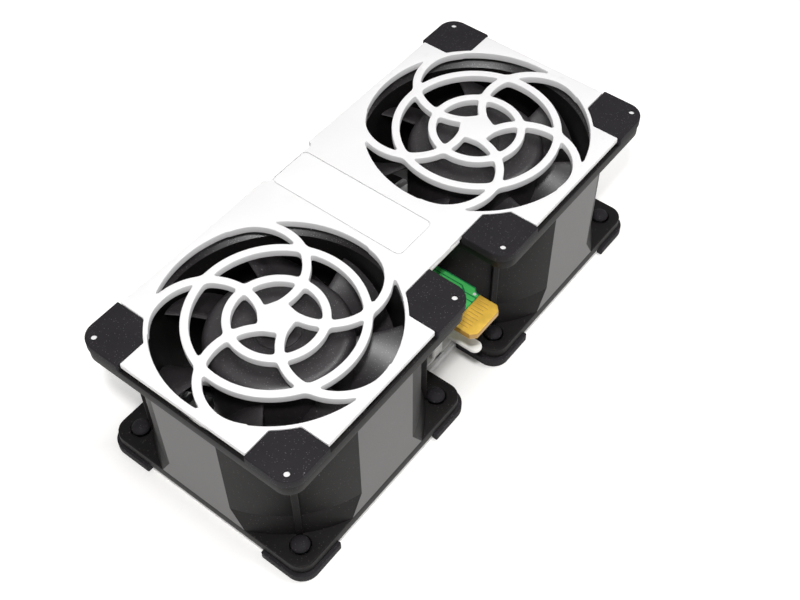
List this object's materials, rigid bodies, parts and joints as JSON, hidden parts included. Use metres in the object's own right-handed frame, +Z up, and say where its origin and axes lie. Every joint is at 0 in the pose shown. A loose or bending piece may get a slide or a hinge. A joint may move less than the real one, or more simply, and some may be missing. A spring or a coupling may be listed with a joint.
{
  "type": "server fan module",
  "caption": "Hot-swap server cooling module: square axial fans side by side between moulded guard plates with spiral grilles, soft corner isolators and an edge-card tab.",
  "frame": {"origin": "middle of the footprint, on the underside of the bottom isolators", "axes": "+X along the module from fan a to fan b, +Y away from the connector, +Z up to the air intake side"},
  "size_m": [0.1354, 0.0616, 0.043],
  "materials": {
    "guard_plastic": "fine matt moulded",
    "label": "smooth blank label",
    "isolator": "matt soft rubber",
    "fan_plastic": "satin glass-filled moulding",
    "impeller_plastic": "satin glass-filled moulding",
    "board": "solder-resist gloss",
    "gold": "gold plated",
    "screw": "zinc plated",
    "rotor_steel": "pressed steel",
    "magnet": "bonded ferrite",
    "shaft_steel": "ground",
    "tube_brass": "turned",
    "bearing_steel": "ground",
    "lamination": "stamped laminations",
    "copper": "enamelled copper wire",
    "insulator": "moulded nylon",
    "motor_board": "solder-resist gloss"
  },
  "bodies": {
    "module": {"board_carrier": "guard_plastic", "board_screws": "screw", "bottom_guard_plate": "guard_plastic", "bottom_isolator_a_inner_front": "isolator", "bottom_isolator_a_outer_front": "isolator", "bottom_isolator_a_outer_rear": "isolator", "bottom_isolator_b_inner_front": "isolator", "bottom_isolator_b_outer_front": "isolator", "bottom_isolator_b_outer_rear": "isolator", "connector_board": "board", "contact_fingers": "gold", "fan_a_bearing_tube": "tube_brass", "fan_a_housing": "fan_plastic", "fan_a_lower_bearing": "bearing_steel", "fan_a_motor_board": "motor_board", "fan_a_stator_coils": "copper", "fan_a_stator_core": "lamination", "fan_a_stator_insulator": "insulator", "fan_a_upper_bearing": "bearing_steel", "fan_b_bearing_tube": "tube_brass", "fan_b_housing": "fan_plastic", "fan_b_lower_bearing": "bearing_steel", "fan_b_motor_board": "motor_board", "fan_b_stator_coils": "copper", "fan_b_stator_core": "lamination", "fan_b_stator_insulator": "insulator", "fan_b_upper_bearing": "bearing_steel", "label": "label", "top_guard_plate": "guard_plastic", "top_isolator_a_inner_front": "isolator", "top_isolator_a_outer_front": "isolator", "top_isolator_a_outer_rear": "isolator", "top_isolator_b_inner_front": "isolator", "top_isolator_b_outer_front": "isolator", "top_isolator_b_outer_rear": "isolator"},
    "rotor_a": {"fan_a_impeller": "impeller_plastic", "fan_a_magnet_ring": "magnet", "fan_a_preload_spring": "shaft_steel", "fan_a_rotor_cup": "rotor_steel", "fan_a_shaft": "shaft_steel", "fan_a_shaft_bush": "tube_brass", "fan_a_shaft_clip": "shaft_steel"},
    "rotor_b": {"fan_b_impeller": "impeller_plastic", "fan_b_magnet_ring": "magnet", "fan_b_preload_spring": "shaft_steel", "fan_b_rotor_cup": "rotor_steel", "fan_b_shaft": "shaft_steel", "fan_b_shaft_bush": "tube_brass", "fan_b_shaft_clip": "shaft_steel"}
  },
  "joints": [
    {"name": "rotor_a_spin", "type": "hinge", "parent": "module", "child": "rotor_a", "pos_m": [-0.037, 0, 0.0215], "axis": [0, 0, 1], "continuous": true},
    {"name": "rotor_b_spin", "type": "hinge", "parent": "module", "child": "rotor_b", "pos_m": [0.037, 0, 0.0215], "axis": [0, 0, 1], "continuous": true}
  ]
}
